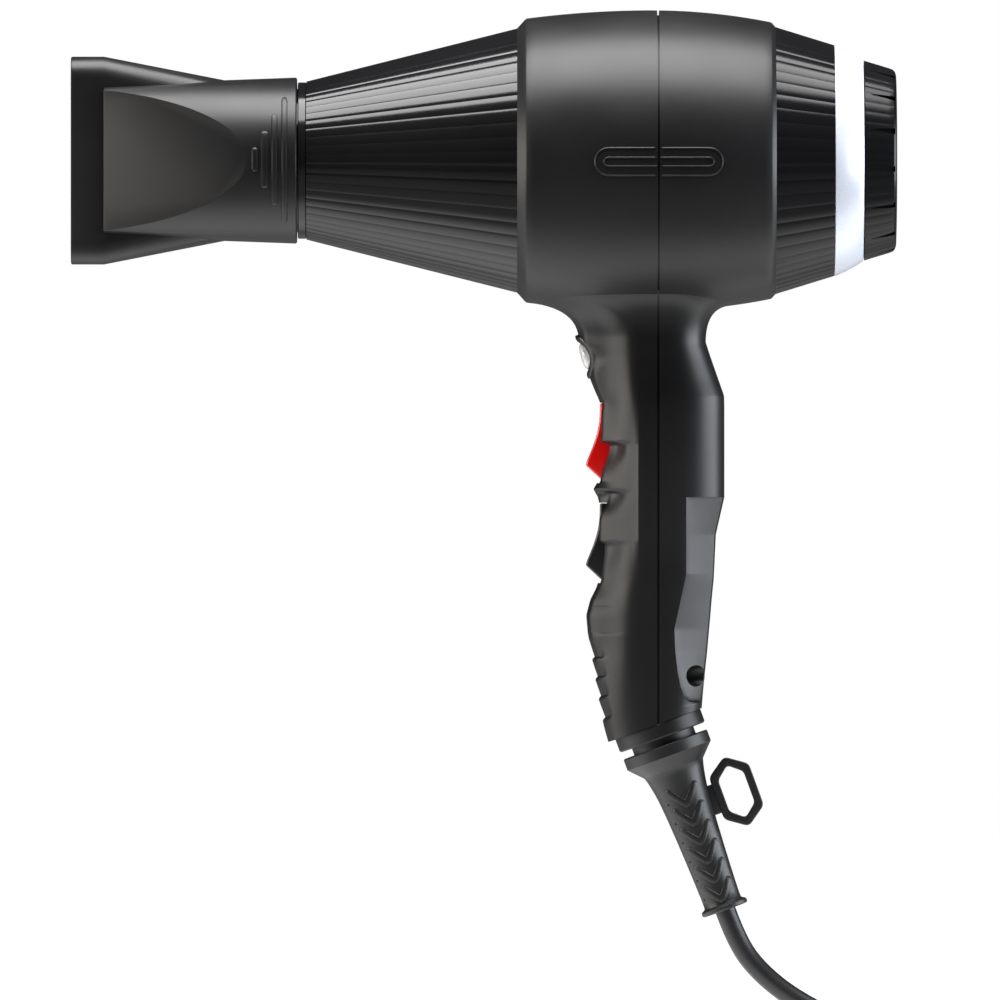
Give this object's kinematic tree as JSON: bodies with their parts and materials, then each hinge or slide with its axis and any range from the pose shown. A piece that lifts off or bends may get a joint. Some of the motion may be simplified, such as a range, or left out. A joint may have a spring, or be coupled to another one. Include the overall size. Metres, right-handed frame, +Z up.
{
  "type": "hair dryer",
  "caption": "Corded salon hair dryer with ribbed barrel, flat concentrator nozzle, rocker switches in the grip and a strain-relief boot with hang loop.",
  "frame": {"origin": "middle of the grip, on the seam plane between the two housing halves", "axes": "+Z up along the grip, +X along the barrel from the nozzle to the air inlet, +Y across the dryer to its left side"},
  "size_m": [0.3392, 0.1515, 0.3679],
  "materials": {
    "housing_black": "soft-touch satin",
    "nozzle_black": "fine matte",
    "barrel_gloss": "polished",
    "ring_silver": "pearl",
    "spring_steel": "satin",
    "mica": "pressed mica",
    "heater_wire": "oxidised",
    "inner_plastic": "moulded",
    "fan_plastic": "moulded",
    "lamination": "stacked sheet",
    "copper": "wound",
    "carbon": "pressed carbon",
    "rocker_red": "polished",
    "rocker_black": "polished",
    "button_clear": "milky",
    "lead_sleeve": "silicone",
    "cord_black": "satin sheath",
    "boot_rubber": "matte",
    "tie_strap": "hook and loop",
    "pin_metal": "nickel plated"
  },
  "bodies": {
    "dryer": {"front_housing": "housing_black", "rear_housing": "housing_black", "handle_band": "housing_black", "front_barrel": "barrel_gloss", "rear_barrel": "barrel_gloss", "trim_ring": "ring_silver", "outlet_grille": "spring_steel", "mica_tube": "mica", "heater_boards": "mica", "heater_coils": "heater_wire", "thermostat": "spring_steel", "thermal_fuse": "inner_plastic", "ion_emitter": "inner_plastic", "fan_duct": "inner_plastic", "stator": "lamination", "field_windings": "copper", "front_bearing": "copper", "rear_bearing": "copper", "brushes": "carbon", "front_bracket": "inner_plastic", "rear_bracket": "inner_plastic", "speed_switch": "inner_plastic", "heat_switch": "inner_plastic", "button_bezel": "rocker_black", "cool_switch": "inner_plastic", "ion_module": "inner_plastic", "terminal_block": "fan_plastic", "inner_leads": "lead_sleeve", "inner_cord": "cord_black", "cord_clamp": "inner_plastic", "handle_screws": "spring_steel", "cord_boot": "boot_rubber", "mains_cord": "cord_black", "cord_coil": "cord_black", "cord_tail": "cord_black", "cord_tie": "tie_strap", "plug_body": "boot_rubber", "plug_pins": "pin_metal"},
    "nozzle_ring": {"nozzle_clip": "spring_steel"},
    "nozzle": {"nozzle": "nozzle_black"},
    "inlet_filter": {"inlet_cap": "barrel_gloss", "filter_mesh": "spring_steel"},
    "rotor": {"fan": "fan_plastic", "motor_shaft": "spring_steel", "armature": "lamination", "commutator": "copper"},
    "speed_rocker": {"speed_rocker": "rocker_red"},
    "heat_rocker": {"heat_rocker": "rocker_black"},
    "cool_button": {"cool_button": "button_clear"}
  },
  "joints": [
    {"name": "nozzle_turn", "type": "hinge", "parent": "dryer", "child": "nozzle_ring", "pos_m": [-0.131, 0, 0.112], "axis": [1, 0, 0], "continuous": true},
    {"name": "nozzle_pull", "type": "slide", "parent": "nozzle_ring", "child": "nozzle", "axis": [-1, 0, 0], "range_m": [0, 0.03]},
    {"name": "filter_pull", "type": "slide", "parent": "dryer", "child": "inlet_filter", "axis": [1, 0, 0], "range_m": [0, 0.02]},
    {"name": "fan_spin", "type": "hinge", "parent": "dryer", "child": "rotor", "pos_m": [0, 0, 0.112], "axis": [1, 0, 0], "continuous": true},
    {"name": "speed_rock", "type": "hinge", "parent": "dryer", "child": "speed_rocker", "pos_m": [-0.012, 0, 0.019], "axis": [0, -1, 0], "range_deg": [0, 20]},
    {"name": "heat_rock", "type": "hinge", "parent": "dryer", "child": "heat_rocker", "pos_m": [-0.012, 0, -0.014], "axis": [0, -1, 0], "range_deg": [0, 20]},
    {"name": "cool_press", "type": "slide", "parent": "dryer", "child": "cool_button", "axis": [0.9563, 0, 0.2924], "range_m": [0, 0.002], "stiffness_N_per_m": 400, "springref_m": -0.001}
  ]
}
